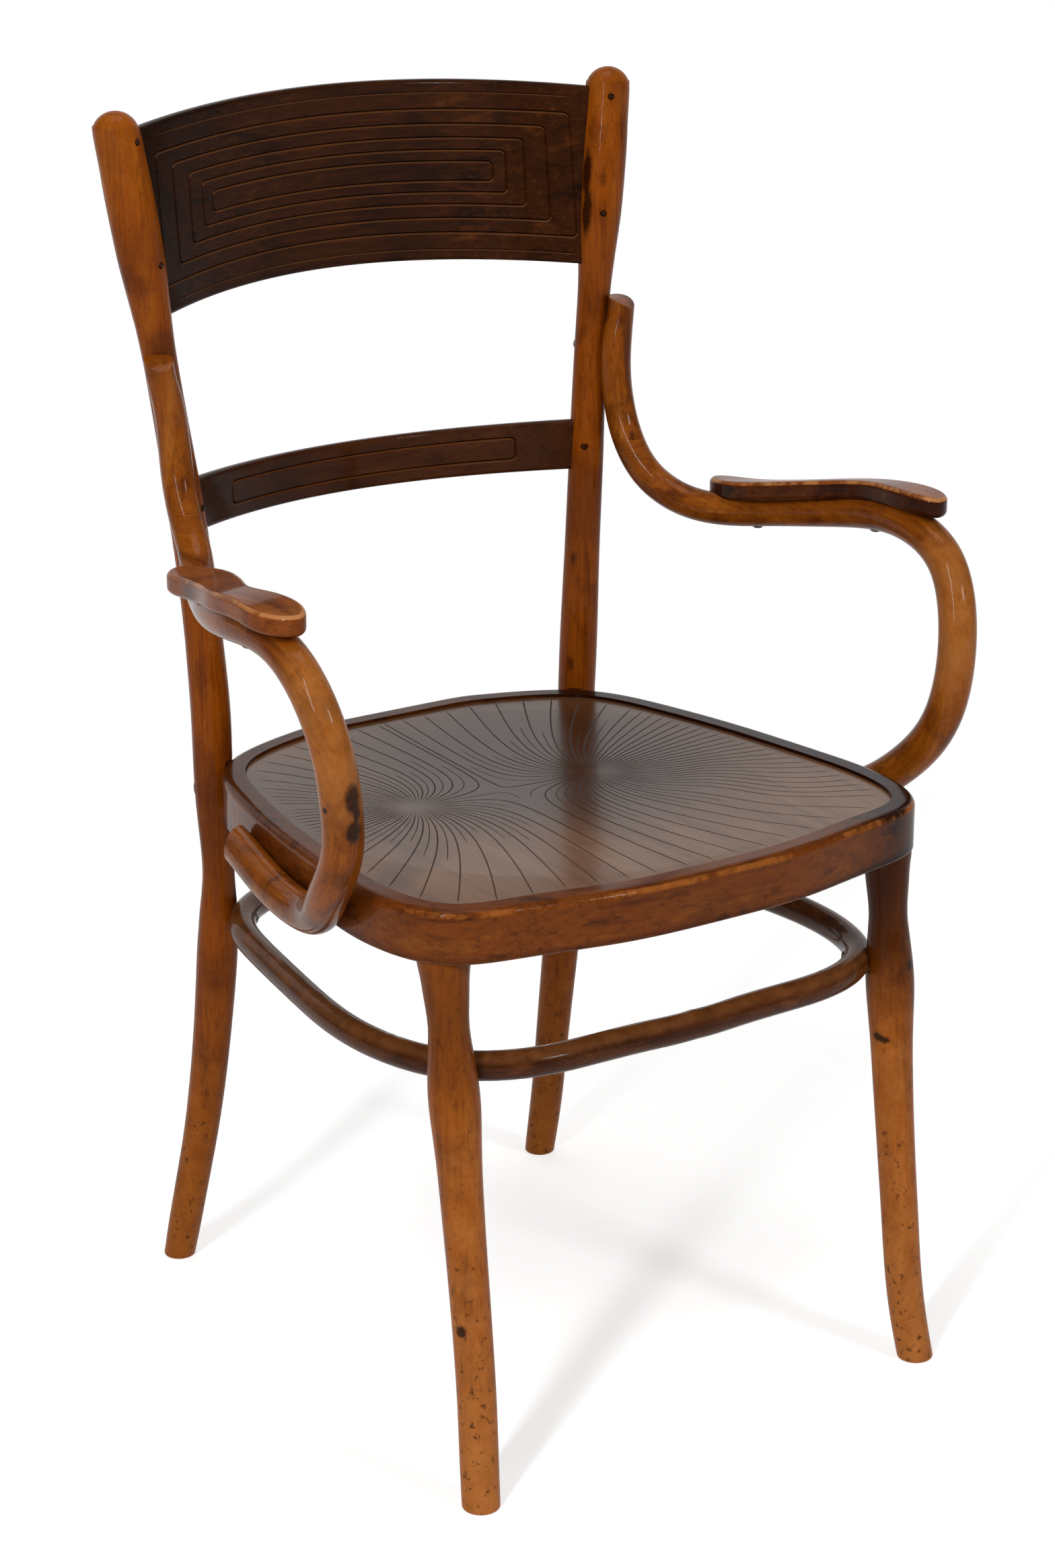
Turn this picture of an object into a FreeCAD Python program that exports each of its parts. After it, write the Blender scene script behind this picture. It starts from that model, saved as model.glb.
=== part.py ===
import FreeCAD, Part
import math
import os

Vector = FreeCAD.Vector
UP = Vector(0, 0, 1)

# Bentwood armchair, sizes in millimetres. The chair faces -Y and +X is one side.
# Every side piece is made on the +X side and mirrored to the other.

# Whole chair
TOTAL_HEIGHT = 920.0
SEAT_HEIGHT = 436.0
SEAT_WIDTH = 454.0
SEAT_DEPTH = 442.0
HOOP_HEIGHT = 310.0
ARM_RISE = 176.0

# Room left between pieces that meet
CLEARANCE = 0.3

# Seat ring and the panel let into it
RING_HEIGHT = 38.5
RING_WIDTH = 36.0
RIM_WIDTH = 17.0
RING_ROUNDING = 6.0
RING_EASE = 2.0
PANEL_THICKNESS = 5.0
PANEL_RECESS = 2.5
PANEL_DISH = 3.0

# Legs and posts
LEG_TENON_RADIUS = 10.0
LEG_TENON_LENGTH = 24.0
FOOT_ROUNDING = 2.0
POST_DOME_HEIGHT = 11.0
POST_DOME_STEP = 0.6

# Stretcher hoop
HOOP_RADIUS = 10.6
FRONT_GROOVE = 4.2
REAR_GROOVE = 1.8

# Back boards
CREST_DROP = 14.0
CREST_HEIGHT = 135.0
CREST_THICKNESS = 9.0
CREST_ARCH = 11.5
CREST_LOWER_ARCH = 8.0
RAIL_RISE = 214.0
RAIL_HEIGHT = 38.5
RAIL_THICKNESS = 8.0
RAIL_ARCH = -4.5
RAIL_LOWER_ARCH = -4.5
BOARD_SETBACK = 5.0
BOARD_BOW = 52.0
CREST_LET_IN = 14.0
RAIL_LET_IN = 9.0
BOARD_EDGE_ROUNDING = 2.8

# Arms and their pads
ARM_RADIUS = 14.0
ARM_TOP_RISE = 313.0
ARM_SEAT_DEPTH = 1.0
ARM_END_SLANT = 8.0
ARM_END_TURN = Vector(0.8, 0, 0)
SCARF_ROUNDING = 32.0
SCARF_DROP = 2.0
END_BLOCK = 80.0
PAD_THICKNESS = 15.0
PAD_TILT = 0.08
PAD_ROUNDING = 4.0

# Fasteners
BORE_RUN_OUT = 8.0
PIN_RADIUS = 2.3
PIN_EASE = 0.8
PIN_INSET = 4.0
PIN_PROUD = 0.4
CREST_PIN_DROPS = (7.0, 95.0)
SCREW_RADIUS = 2.2
SCREW_HEAD_RADIUS = 4.2
SCREW_HEAD_HEIGHT = 2.4
SCREW_HEAD_SUNK = 1.2
SCREW_SLOT = 0.9
SCREW_POINT = 3.0
PAD_SCREW_SHARES = (0.390, 0.627)
PAD_SCREW_BITE = 8.0
ARM_TOP_SCREW_DROP = 42.0
ARM_SEAT_SCREW_SHARES = (0.42, 0.60)
STRETCHER_SCREW_BITE = 14.0
BOLT_RADIUS = 3.2
BOLT_HEAD_RADIUS = 8.0
BOLT_HEAD_HEIGHT = 3.6
BOLT_HEAD_SUNK = 3.0
BOLT_RISE = 15.0
BOLT_END = 2.0
WASHER_RADIUS = 9.0
WASHER_THICKNESS = 1.5
WASHER_ROOM = 1.0
NUT_RADIUS = 6.4
NUT_HEIGHT = 5.5

# Levels that follow from the sizes above
RING_BOTTOM = SEAT_HEIGHT - RING_HEIGHT
PANEL_TOP = SEAT_HEIGHT - PANEL_RECESS
PANEL_BOTTOM = PANEL_TOP - PANEL_THICKNESS
BACK_HEIGHT = TOTAL_HEIGHT - SEAT_HEIGHT
COLLAR_HEIGHT = TOTAL_HEIGHT - POST_DOME_HEIGHT
CREST_TOP = TOTAL_HEIGHT - CREST_DROP
RAIL_TOP = SEAT_HEIGHT + RAIL_RISE
ARM_LEVEL = SEAT_HEIGHT + ARM_RISE
ARM_TOP = SEAT_HEIGHT + ARM_TOP_RISE

# The plan is given in shares of the seat: x of half its width, y of its depth from the front.
SEAT_FRONT_SHARE = 0.548
RING_OUTLINE = [
    (0.0, 0.0), (0.341, 0.008), (0.642, 0.040), (0.899, 0.086), (0.997, 0.215), (0.983, 0.384),
    (0.943, 0.548), (0.860, 0.754), (0.707, 0.911), (0.399, 0.987), (0.0, 1.0),
]
HOOP_FRONT = [(0.0, 0.070), (0.302, 0.077), (0.588, 0.090)]
HOOP_SIDE = [(0.882, 0.254), (0.903, 0.397), (0.864, 0.548), (0.797, 0.739)]
HOOP_REAR = [(0.395, 0.983), (0.0, 0.992)]
FRONT_LEG_SHARE = (0.855, 0.127)
POST_SHARE = (0.733, 0.936)
HOOP_FROM_FRONT_LEG = Vector(-0.66, 0.75, 0)
HOOP_FROM_POST = Vector(-0.43, -0.90, 0)
ARM_FROM_POST = Vector(0.46, -0.89, 0)

# How far each leg wanders from its place at the seat: share of its height, outward, backward
FRONT_LEG_SWEEP = [
    (0.0, 3.8, -49.0), (0.07, 1.3, -43.3), (0.14, -0.7, -38.9), (0.28, -1.9, -32.2),
    (0.55, -2.0, -18.7), (0.76, -1.2, -9.9), (1.0, 0.0, 0.0),
]
# The same for a post, from -1 at the floor to 0 at the seat and 1 at the top
POST_SWEEP = [
    (-1.0, 9.7, 63.2), (-0.876, 6.8, 48.9), (-0.748, 2.8, 35.6), (-0.626, 0.2, 24.7),
    (-0.394, -1.6, 8.2), (-0.22, -1.7, 1.2), (-0.044, 1.0, 0.0), (0.064, 2.2, -1.3),
    (0.231, 6.9, 0.6), (0.397, 14.1, 5.4), (0.558, 22.4, 12.5), (0.717, 32.2, 17.8),
    (0.874, 42.2, 23.9), (1.0, 50.3, 29.4),
]

# Turned outlines: height, radius
FRONT_LEG_PROFILE = [
    (0.0, 13.6), (0.09 * HOOP_HEIGHT, 13.8), (0.36 * HOOP_HEIGHT, 14.0),
    (0.61 * HOOP_HEIGHT, 14.6), (0.80 * HOOP_HEIGHT, 15.9), (HOOP_HEIGHT - 10, 18.0),
    (HOOP_HEIGHT + 16, 16.0), (HOOP_HEIGHT + 36, 14.3), (HOOP_HEIGHT + 62, 16.0),
    (RING_BOTTOM, 18.5),
]
POST_PROFILE = [
    (0.0, 12.4), (0.08 * HOOP_HEIGHT, 13.0), (0.35 * HOOP_HEIGHT, 13.6),
    (0.70 * HOOP_HEIGHT, 15.0), (HOOP_HEIGHT - 25, 15.6), (HOOP_HEIGHT + 2, 14.4),
    (HOOP_HEIGHT + 30, 12.4), (RING_BOTTOM + 3, 14.3), (SEAT_HEIGHT + 31, 15.0),
    (SEAT_HEIGHT + 0.23 * BACK_HEIGHT, 14.0), (SEAT_HEIGHT + 0.40 * BACK_HEIGHT, 13.6),
    (SEAT_HEIGHT + 0.61 * BACK_HEIGHT, 12.6), (SEAT_HEIGHT + 0.66 * BACK_HEIGHT, 13.1),
    (SEAT_HEIGHT + 0.72 * BACK_HEIGHT, 15.1), (SEAT_HEIGHT + 0.77 * BACK_HEIGHT, 17.0),
    (SEAT_HEIGHT + 0.82 * BACK_HEIGHT, 17.7), (SEAT_HEIGHT + 0.88 * BACK_HEIGHT, 17.9),
    (COLLAR_HEIGHT, 16.8),
]

# Middle of the arm between post and ring: x and y shares, height as a share of the arm rise
ARM_BEND = [
    (0.876, 0.890, 1.192), (0.888, 0.845, 1.034), (0.943, 0.773, 0.920), (1.012, 0.689, 0.898),
    (1.088, 0.603, 0.926), (1.151, 0.516, 0.960), (1.195, 0.414, 1.000), (1.207, 0.307, 1.000),
    (1.209, 0.217, 0.898), (1.183, 0.162, 0.636), (1.166, 0.156, 0.443), (1.146, 0.173, 0.233),
    (1.125, 0.228, 0.040),
]
# Its lower run lies against the ring: y share, height over the ring's bottom
ARM_RUN = [(0.349, 8.0), (0.457, 5.0), (0.575, 11.0), (0.680, 15.5)]
# Share of the arm's thickness along its length
ARM_TAPER = [
    (0.0, 0.76), (0.08, 0.84), (0.30, 0.90), (0.55, 1.0), (0.70, 1.02), (0.9, 0.97), (1.0, 0.90),
]

# Pad in plan, x and y shares, once round
PAD_OUTLINE = [
    (1.041, 0.548), (1.100, 0.480), (1.145, 0.412), (1.143, 0.344), (1.140, 0.295),
    (1.159, 0.252), (1.203, 0.229), (1.251, 0.240), (1.291, 0.277), (1.295, 0.315),
    (1.286, 0.349), (1.268, 0.412), (1.239, 0.480), (1.191, 0.548), (1.154, 0.616),
    (1.135, 0.666), (1.121, 0.711), (1.093, 0.738), (1.057, 0.747), (1.018, 0.734),
    (0.994, 0.706), (0.982, 0.661), (0.995, 0.616),
]
# Level of the pad's top along its middle: y share, height as a share of the arm rise
PAD_TOP = [(0.20, 1.142), (0.277, 1.160), (0.344, 1.161), (0.48, 1.113), (0.60, 1.052), (0.78, 1.006)]
PAD_MIDDLE_SHARE = 1.147
# Stretch of the arm's length that the pad lies along
PAD_STRETCH = (0.20, 0.60)


def seat_point(x_share, y_share, height=0.0):
    """Place given in shares of the seat, on the +X side."""
    return Vector(x_share * SEAT_WIDTH / 2, (y_share - SEAT_FRONT_SHARE) * SEAT_DEPTH, height)


def smooth(stations, at):
    """Value at a position on a soft curve through (position, value) stations."""
    last = len(stations) - 1
    at = min(max(at, stations[0][0]), stations[last][0])
    i = 0
    while i < last - 1 and at > stations[i + 1][0]:
        i += 1
    p0, v0 = stations[i]
    p1, v1 = stations[i + 1]
    slope = (v1 - v0) / (p1 - p0)
    before = (v0 - stations[i - 1][1]) / (p0 - stations[i - 1][0]) if i > 0 else slope
    after = (stations[i + 2][1] - v1) / (stations[i + 2][0] - p1) if i + 1 < last else slope
    m0 = (before + slope) / 2 * (p1 - p0)
    m1 = (after + slope) / 2 * (p1 - p0)
    t = (at - p0) / (p1 - p0)
    start = (1 + 2 * t) * (1 - t) ** 2 * v0 + t * (1 - t) ** 2 * m0
    return start + t * t * (3 - 2 * t) * v1 + t * t * (t - 1) * m1


def column(rows, number):
    return [(row[0], row[number]) for row in rows]


def curve_through(points):
    curve = Part.BSplineCurve()
    curve.interpolate(Points=points)
    return curve


def half_round(points):
    """Curve that leaves and meets the middle plane squarely, so its mirror image carries it on."""
    curve = Part.BSplineCurve()
    curve.interpolate(Points=points, InitialTangent=Vector(1, 0, 0), FinalTangent=Vector(-1, 0, 0))
    return curve


def closed_round(points):
    """Smooth closed curve through points."""
    along = points[1] - points[-1]
    along.normalize()
    curve = Part.BSplineCurve()
    curve.interpolate(Points=points + [points[0]], InitialTangent=along, FinalTangent=along)
    return curve


def mirrored(shape):
    return shape.mirror(Vector(0, 0, 0), Vector(1, 0, 0))


def round_wall(path, first, last, steps, radius_at):
    """Round skin along a stretch of a curve; radius_at takes the share of the stretch passed."""
    around = 12
    rings = []
    for step in range(steps + 1):
        share = step / steps
        at = first + (last - first) * share
        axis = path.tangent(at)[0]
        side = Vector(1, 0, 0) - axis * axis.x
        if abs(axis.z) < 1e-6:
            side = Vector(0, 0, 1)
        side.normalize()
        other = axis.cross(side)
        ring = []
        for i in range(around + 1):
            turn = 2 * math.pi * i / around
            out = side * math.cos(turn) + other * math.sin(turn)
            ring.append(path.value(at) + out * radius_at(share))
        rings.append(ring)
    skin = Part.BSplineSurface()
    skin.interpolate(rings)
    return skin.toShape()


def closed_solid(faces):
    """Solid inside faces that meet edge to edge."""
    shell = Part.Shell(faces)
    shell.sewShape()
    solid = Part.Solid(shell)
    return solid if solid.Volume > 0 else solid.reversed()


def spun(profile, centre, direction):
    """Solid turned from (along, radius) points about a line through the centre."""
    points = [Vector(radius, 0, along) for along, radius in profile]
    face = Part.Face(Part.makePolygon(points + [points[0]]))
    solid = face.revolve(Vector(0, 0, 0), UP, 360)
    solid.Placement = FreeCAD.Placement(centre, FreeCAD.Rotation(UP, direction))
    return Part.Solid(solid) if solid.ShapeType == "Shell" else solid


# Fasteners

def screw(start, direction, length, grow=0.0):
    """Round-headed screw; start is the middle of its head's top. Grown, it is its own bore."""
    head = SCREW_HEAD_RADIUS + grow
    shank = SCREW_RADIUS + grow
    top = -BORE_RUN_OUT if grow else 0.0
    profile = [
        (top, 0), (top, head if grow else head * 0.7), (SCREW_HEAD_HEIGHT * 0.45, head),
        (SCREW_HEAD_HEIGHT + grow, head), (SCREW_HEAD_HEIGHT + grow, shank),
        (length - SCREW_POINT + grow, shank), (length + grow, 0),
    ]
    body = spun(profile, start, direction)
    if grow:
        return body
    slot = Part.makeBox(3 * head, SCREW_SLOT, 2 * SCREW_HEAD_HEIGHT / 3)
    slot.translate(Vector(-1.5 * head, -SCREW_SLOT / 2, -SCREW_HEAD_HEIGHT / 6))
    slot.Placement = FreeCAD.Placement(start, FreeCAD.Rotation(UP, direction)).multiply(slot.Placement)
    return body.cut(slot)


def pin(start, direction, length, grow=0.0):
    """Wooden peg with slightly rounded ends."""
    radius = PIN_RADIUS + grow
    top = -BORE_RUN_OUT if grow else 0.0
    eased = radius if grow else radius - PIN_EASE
    profile = [
        (top, 0), (top, eased), (PIN_EASE, radius), (length - PIN_EASE, radius),
        (length + grow, eased), (length + grow, 0),
    ]
    return spun(profile, start, direction)


# Seat ring and panel

def ring_curve(inset, height):
    """Half of the ring's outline on the +X side, moved inward, at a height."""
    points = [seat_point(x, y, height) for x, y in RING_OUTLINE]
    base = half_round(points)
    if inset == 0:
        return base
    moved = []
    for point in points:
        tangent = base.tangent(base.parameter(point))[0]
        moved.append(point + Vector(-tangent.y, tangent.x, 0) * inset)
    return half_round(moved)


def ring_prism(inset, bottom, top):
    edge = ring_curve(inset, bottom).toShape()
    wire = Part.Wire([edge, mirrored(edge)])
    return Part.Face(wire).extrude(Vector(0, 0, top - bottom))


def level_edges(shape, height):
    """Edges of a shape that lie flat at a height."""
    found = []
    for edge in shape.Edges:
        box = edge.BoundBox
        if abs(box.ZMin - height) < 0.05 and abs(box.ZMax - height) < 0.05:
            found.append(edge)
    return found


def ring_body():
    body = ring_prism(0, RING_BOTTOM, SEAT_HEIGHT)
    body = body.makeFillet(RING_ROUNDING, level_edges(body, SEAT_HEIGHT))
    body = body.makeFillet(RING_EASE, level_edges(body, RING_BOTTOM))
    body = body.cut(ring_prism(RING_WIDTH, RING_BOTTOM - 1, SEAT_HEIGHT + 1))
    return body.cut(ring_prism(RIM_WIDTH, PANEL_BOTTOM, SEAT_HEIGHT + 1))


def seat_panel():
    """Thin panel lying in the ring's rebate, pressed into a shallow dish."""
    plate = ring_prism(RIM_WIDTH + CLEARANCE, PANEL_BOTTOM, PANEL_TOP)
    reach = SEAT_WIDTH / 2 - RING_WIDTH
    bend = reach * reach / (2 * PANEL_DISH)
    middle = seat_point(0, 0.5, PANEL_TOP - PANEL_DISH + bend)
    dish = Part.makeSphere(bend, middle)
    under = ring_prism(RING_WIDTH + CLEARANCE, PANEL_BOTTOM - PANEL_DISH - 1, PANEL_TOP)
    under = under.common(Part.makeSphere(bend + PANEL_THICKNESS, middle))
    return plate.fuse(under).cut(dish)


# Legs, posts and hoop

def front_leg_at(height):
    """Middle of a front leg and its radius at a height."""
    share = height / RING_BOTTOM
    out = smooth(column(FRONT_LEG_SWEEP, 1), share)
    back = smooth(column(FRONT_LEG_SWEEP, 2), share)
    return seat_point(*FRONT_LEG_SHARE, height) + Vector(out, back, 0), smooth(FRONT_LEG_PROFILE, height)


def post_at(height):
    """Middle of a back post and its radius at a height."""
    share = height / SEAT_HEIGHT - 1
    if height > SEAT_HEIGHT:
        share = (height - SEAT_HEIGHT) / BACK_HEIGHT
    out = smooth(column(POST_SWEEP, 1), share)
    back = smooth(column(POST_SWEEP, 2), share)
    return seat_point(*POST_SHARE, height) + Vector(out, back, 0), smooth(POST_PROFILE, height)


def turned(member_at, profile, grow=0.0):
    """Loft a leg through level circles: at each turned height and halfway between."""
    heights = []
    for lower, upper in zip(profile, profile[1:]):
        heights += [lower[0], (lower[0] + upper[0]) / 2]
    heights.append(profile[-1][0])
    circles = []
    for height in heights:
        centre, radius = member_at(height)
        circles.append(Part.Wire([Part.makeCircle(radius + grow, centre)]))
    return Part.makeLoft(circles, True, False)


def front_leg_body():
    body = turned(front_leg_at, FRONT_LEG_PROFILE)
    body = body.makeFillet(FOOT_ROUNDING, level_edges(body, 0))
    centre = front_leg_at(RING_BOTTOM)[0]
    return body.fuse(Part.makeCylinder(LEG_TENON_RADIUS, LEG_TENON_LENGTH, centre))


def post_body():
    body = turned(post_at, POST_PROFILE)
    body = body.makeFillet(FOOT_ROUNDING, level_edges(body, 0))
    centre, radius = post_at(COLLAR_HEIGHT)
    radius -= POST_DOME_STEP
    ball = (radius ** 2 + POST_DOME_HEIGHT ** 2) / (2 * POST_DOME_HEIGHT)
    dome = Part.makeSphere(ball, Vector(centre.x, centre.y, TOTAL_HEIGHT - ball))
    cap = Part.makeCylinder(radius + 1, POST_DOME_HEIGHT + 1, centre)
    return body.fuse(dome.common(cap))


def hoop_at_front_leg():
    centre, radius = front_leg_at(HOOP_HEIGHT)
    return centre + HOOP_FROM_FRONT_LEG * (radius + HOOP_RADIUS - FRONT_GROOVE)


def hoop_at_post():
    centre, radius = post_at(HOOP_HEIGHT)
    return centre + HOOP_FROM_POST * (radius + HOOP_RADIUS - REAR_GROOVE)


def hoop_body(grow=0.0):
    half = [seat_point(x, y, HOOP_HEIGHT) for x, y in HOOP_FRONT]
    half.append(hoop_at_front_leg())
    half += [seat_point(x, y, HOOP_HEIGHT) for x, y in HOOP_SIDE]
    half.append(hoop_at_post())
    half += [seat_point(x, y, HOOP_HEIGHT) for x, y in HOOP_REAR]
    path = half_round(half)
    wall = round_wall(path, 0, path.LastParameter, 18, lambda share: HOOP_RADIUS + grow)
    ends = [Part.Face(Part.Wire([edge])) for edge in wall.Edges if edge.isClosed()]
    side = closed_solid([wall] + ends)
    return side.fuse(mirrored(side))


# Back boards

def board(bottom, height, thickness, arches, let_in, grow):
    """Bowed board between the posts, let into both; grown, it is its own slot."""
    low = post_at(bottom)
    high = post_at(bottom + height)
    rows = 10
    half = thickness / 2 + grow
    corner = BOARD_EDGE_ROUNDING
    middle_y = (low[0].y + high[0].y) / 2 + BOARD_SETBACK + BOARD_BOW
    wires = []
    for row in range(rows + 1):
        share = 2 * row / rows - 1
        ends = []
        for (centre, radius), arch in ((low, arches[0]), (high, arches[1])):
            reach = centre.x - radius + let_in + grow
            end_y = centre.y + BOARD_SETBACK
            x = share * reach
            bend = 1 - (x / (centre.x - radius)) ** 2
            y = end_y + (middle_y - end_y) * bend
            slope = -2 * (middle_y - end_y) * x / (centre.x - radius) ** 2
            ends.append((Vector(x, y, centre.z + arch * bend), slope))
        (foot, slope_low), (head, slope_high) = ends
        foot.z -= grow
        head.z += grow
        across = Vector(-(slope_low + slope_high) / 2, 1, 0)
        across.normalize()
        up = head - foot
        up.normalize()
        wires.append(rounded_oblong(foot, head, across * half, up, corner))
    return Part.makeLoft(wires, True, False)


def rounded_oblong(foot, head, side, up, corner):
    """Upright oblong wire with rounded corners, from foot to head and side to side."""
    out = side * (1 - corner / side.Length)
    bit = up * corner
    tip = side - out
    turn = math.sqrt(0.5)
    points = [
        (foot - side + bit, head - side - bit, head - out - bit - tip * turn + bit * turn),
        (head - out, head + out, head + out - bit + tip * turn + bit * turn),
        (head + side - bit, foot + side + bit, foot + out + bit + tip * turn - bit * turn),
        (foot + out, foot - out, foot - out + bit - tip * turn - bit * turn),
    ]
    edges = []
    for i in range(4):
        start, end, mid = points[i]
        edges.append(Part.makeLine(start, end))
        edges.append(Part.Arc(end, mid, points[(i + 1) % 4][0]).toShape())
    return Part.Wire(edges)


def crest(grow=0.0):
    return board(CREST_TOP - CREST_HEIGHT, CREST_HEIGHT, CREST_THICKNESS,
                 (CREST_LOWER_ARCH, CREST_ARCH), CREST_LET_IN, grow)


def lower_rail(grow=0.0):
    return board(RAIL_TOP - RAIL_HEIGHT, RAIL_HEIGHT, RAIL_THICKNESS,
                 (RAIL_LOWER_ARCH, RAIL_ARCH), RAIL_LET_IN, grow)


# Arms and pads

def arm_path():
    """Middle line of the arm: down the post, forward, round the front and back along the ring."""
    points = []
    for height in (ARM_TOP, ARM_TOP - 30, ARM_TOP - 61):
        centre, radius = post_at(height)
        points.append(centre + ARM_FROM_POST * (radius + ARM_RADIUS * ARM_TAPER[1][1] - ARM_SEAT_DEPTH))
    points += [seat_point(x, y, SEAT_HEIGHT + rise * ARM_RISE) for x, y, rise in ARM_BEND]
    outline = ring_curve(CLEARANCE + ARM_SEAT_DEPTH - ARM_RADIUS, RING_BOTTOM)
    for share, rise in ARM_RUN:
        y = seat_point(0, share).y
        points.append(crossing(outline, y) + Vector(0, 0, rise))
    return curve_through(points)


def crossing(curve, y):
    """Where a ring-like curve on the +X side passes a depth."""
    plane = Part.Plane(Vector(0, y, 0), Vector(0, 1, 0))
    hits = [Vector(p.X, p.Y, p.Z) for p in curve.intersect(plane)[0]]
    return max(hits, key=lambda p: p.x)


def arm_bar(first, last, steps, grow=0.0):
    """Tapered round bar along the arm between two shares of its length."""
    path = arm_path()

    def radius_at(share):
        return ARM_RADIUS * smooth(ARM_TAPER, first + (last - first) * share) + grow

    wall = round_wall(path, first * path.LastParameter, last * path.LastParameter, steps, radius_at)
    ends = [Part.Face(Part.Wire([edge])) for edge in wall.Edges if edge.isClosed()]
    return closed_solid([wall] + ends)


def arm_body():
    """The whole bend, with a rounded slant at the top and a slanted cut at the lower end."""
    path = arm_path()
    body = arm_bar(0, 1, 28)
    away = Vector(ARM_FROM_POST.x, ARM_FROM_POST.y, 0)
    away.normalize()
    tip = path.value(path.FirstParameter) - away * ARM_RADIUS * ARM_TAPER[0][1]
    body = body.cut(beyond_rounding(tip - Vector(0, 0, SCARF_DROP), away))
    foot = path.value(path.LastParameter)
    along = path.tangent(path.LastParameter)[0]
    return single(body.cut(beyond_plane(foot - along * ARM_END_SLANT, along + ARM_END_TURN)))


def beyond_plane(point, normal):
    """Block on the far side of a plane, to cut an end with."""
    block = Part.makeBox(END_BLOCK, END_BLOCK, END_BLOCK, Vector(-END_BLOCK / 2, -END_BLOCK / 2, 0))
    turn = FreeCAD.Rotation(UP, normal)
    block.Placement = FreeCAD.Placement(point, turn).multiply(block.Placement)
    return block


def beyond_rounding(tip, away):
    """What lies outside a quarter round that starts level at the tip and falls away from it."""
    axis = away.cross(UP)
    centre = tip - Vector(0, 0, SCARF_ROUNDING)
    drum = Part.makeCylinder(SCARF_ROUNDING, 2 * END_BLOCK, centre - axis * END_BLOCK, axis)
    return beyond_plane(centre, UP).cut(drum)


def pad_body():
    """Flat waisted pad: its plan outline cut to the sloping thickness, edges rounded."""
    outline = closed_round([seat_point(x, y, SEAT_HEIGHT) for x, y in PAD_OUTLINE])
    block = Part.Face(Part.Wire([outline.toShape()])).extrude(Vector(0, 0, 2 * ARM_RISE))
    lean = Vector(0, 0, seat_point(PAD_MIDDLE_SHARE, 0).x * PAD_TILT)
    over = [seat_point(0, y, SEAT_HEIGHT + rise * ARM_RISE) + lean for y, rise in PAD_TOP]
    drop = Vector(0, 0, -PAD_THICKNESS)
    high = curve_through(over).toShape()
    low = curve_through([point + drop for point in over]).toShape()
    front = Part.makeLine(over[0], over[0] + drop)
    back = Part.makeLine(over[-1], over[-1] + drop)
    side = Part.Face(Part.Wire([low, back, high, front]))
    slab = side.extrude(Vector(SEAT_WIDTH, 0, -SEAT_WIDTH * PAD_TILT))
    pad = single(block.common(slab))
    rims = [edge for edge in pad.Edges if edge.Length > 2 * PAD_THICKNESS]
    return single(pad.makeFillet(PAD_ROUNDING, rims))


def single(shape):
    """The one solid a shape holds."""
    if len(shape.Solids) != 1:
        raise ValueError("expected one solid, found " + str(len(shape.Solids)))
    return shape.Solids[0]


def arm_middle_at(y, over):
    """Point on the arm's middle line at a depth; over picks the upper run or the lower."""
    hits = []
    path = arm_path()
    plane = Part.Plane(Vector(0, y, 0), Vector(0, 1, 0))
    for point in path.intersect(plane)[0]:
        hits.append(Vector(point.X, point.Y, point.Z))
    hits.sort(key=lambda p: p.z)
    return hits[-1] if over else hits[0]


def arm_radius_at(point):
    path = arm_path()
    share = path.parameter(point) / path.LastParameter
    return ARM_RADIUS * smooth(ARM_TAPER, share)


# Places of the fasteners on the +X side. Each returns solids, grown when it is to be a bore.

def pad_screws(grow=0.0):
    found = []
    for share in PAD_SCREW_SHARES:
        middle = arm_middle_at(seat_point(0, share).y, True)
        radius = arm_radius_at(middle)
        start = middle - Vector(0, 0, radius + SCREW_HEAD_HEIGHT - SCREW_HEAD_SUNK)
        length = 2 * radius + SCREW_HEAD_HEIGHT - SCREW_HEAD_SUNK + PAD_SCREW_BITE
        found.append(screw(start, UP, length, grow))
    return found


def arm_top_screws(grow=0.0):
    """From the back of the post into the arm's upper end."""
    centre, radius = post_at(ARM_TOP - ARM_TOP_SCREW_DROP)
    aim = Vector(ARM_FROM_POST)
    aim.normalize()
    start = centre - aim * (radius + SCREW_HEAD_HEIGHT - SCREW_HEAD_SUNK)
    length = 2 * radius + SCREW_HEAD_HEIGHT - SCREW_HEAD_SUNK + ARM_RADIUS
    return [screw(start, aim, length, grow)]


def arm_seat_screws(grow=0.0):
    """From inside the ring into the arm's lower run."""
    found = []
    inner = ring_curve(RING_WIDTH, RING_BOTTOM)
    for share in ARM_SEAT_SCREW_SHARES:
        middle = arm_middle_at(seat_point(0, share).y, False)
        foot = inner.value(inner.parameter(middle))
        foot.z = middle.z
        aim = middle - foot
        length = aim.Length + SCREW_HEAD_HEIGHT - SCREW_HEAD_SUNK
        aim.normalize()
        found.append(screw(foot - aim * (SCREW_HEAD_HEIGHT - SCREW_HEAD_SUNK), aim, length, grow))
    return found


def stretcher_screws(grow=0.0):
    """From inside the hoop into the front leg and the post."""
    found = []
    for middle, away in ((hoop_at_front_leg(), HOOP_FROM_FRONT_LEG), (hoop_at_post(), HOOP_FROM_POST)):
        aim = away * -1
        aim.normalize()
        start = middle - aim * (HOOP_RADIUS + SCREW_HEAD_HEIGHT - SCREW_HEAD_SUNK)
        found.append(screw(start, aim, 2 * HOOP_RADIUS + STRETCHER_SCREW_BITE, grow))
    return found


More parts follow.
